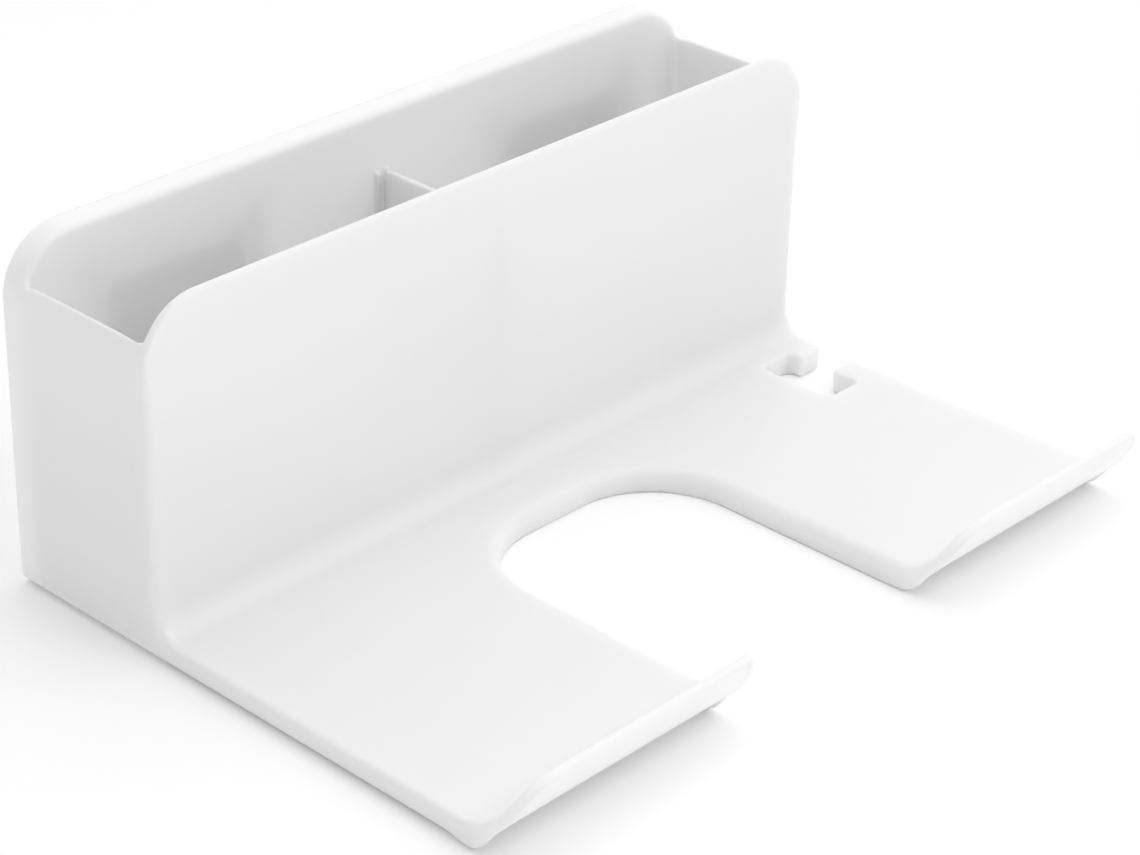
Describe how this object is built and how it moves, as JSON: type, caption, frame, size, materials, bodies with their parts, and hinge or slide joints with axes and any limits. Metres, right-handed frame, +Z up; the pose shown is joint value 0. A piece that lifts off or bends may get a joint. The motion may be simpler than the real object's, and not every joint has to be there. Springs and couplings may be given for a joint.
{
  "type": "hair dryer holder",
  "caption": "Wall-hung plastic hair dryer holder: open two-bay trough over a tray with a U-shaped cradle, turned-up lips and an edge plug slot.",
  "frame": {"origin": "centre of the footprint, level with the underside of the trough and of the tray's skirt", "axes": "+Y towards the wall, +Z up, +X to the right when facing the wall; the tray reaches out towards -Y"},
  "size_m": [0.25, 0.1823, 0.1018],
  "materials": {
    "white_gloss_abs": "semi-gloss moulded white",
    "white_satin_abs": "satin moulded white",
    "foam_tape": "matt closed-cell foam tape"
  },
  "bodies": {
    "wall_mount": {"hanger_plate_left": "white_satin_abs", "hanger_plate_right": "white_satin_abs", "adhesive_pad_left": "foam_tape", "adhesive_pad_right": "foam_tape"},
    "holder": {"holder_body": "white_gloss_abs"},
    "divider": {"divider": "white_gloss_abs"}
  },
  "joints": [
    {"name": "holder_lift", "type": "slide", "parent": "wall_mount", "child": "holder", "axis": [0, 0, 1], "range_m": [0, 0.04]},
    {"name": "divider_lift", "type": "slide", "parent": "holder", "child": "divider", "axis": [0, 0, 1], "range_m": [0, 0.08]}
  ]
}
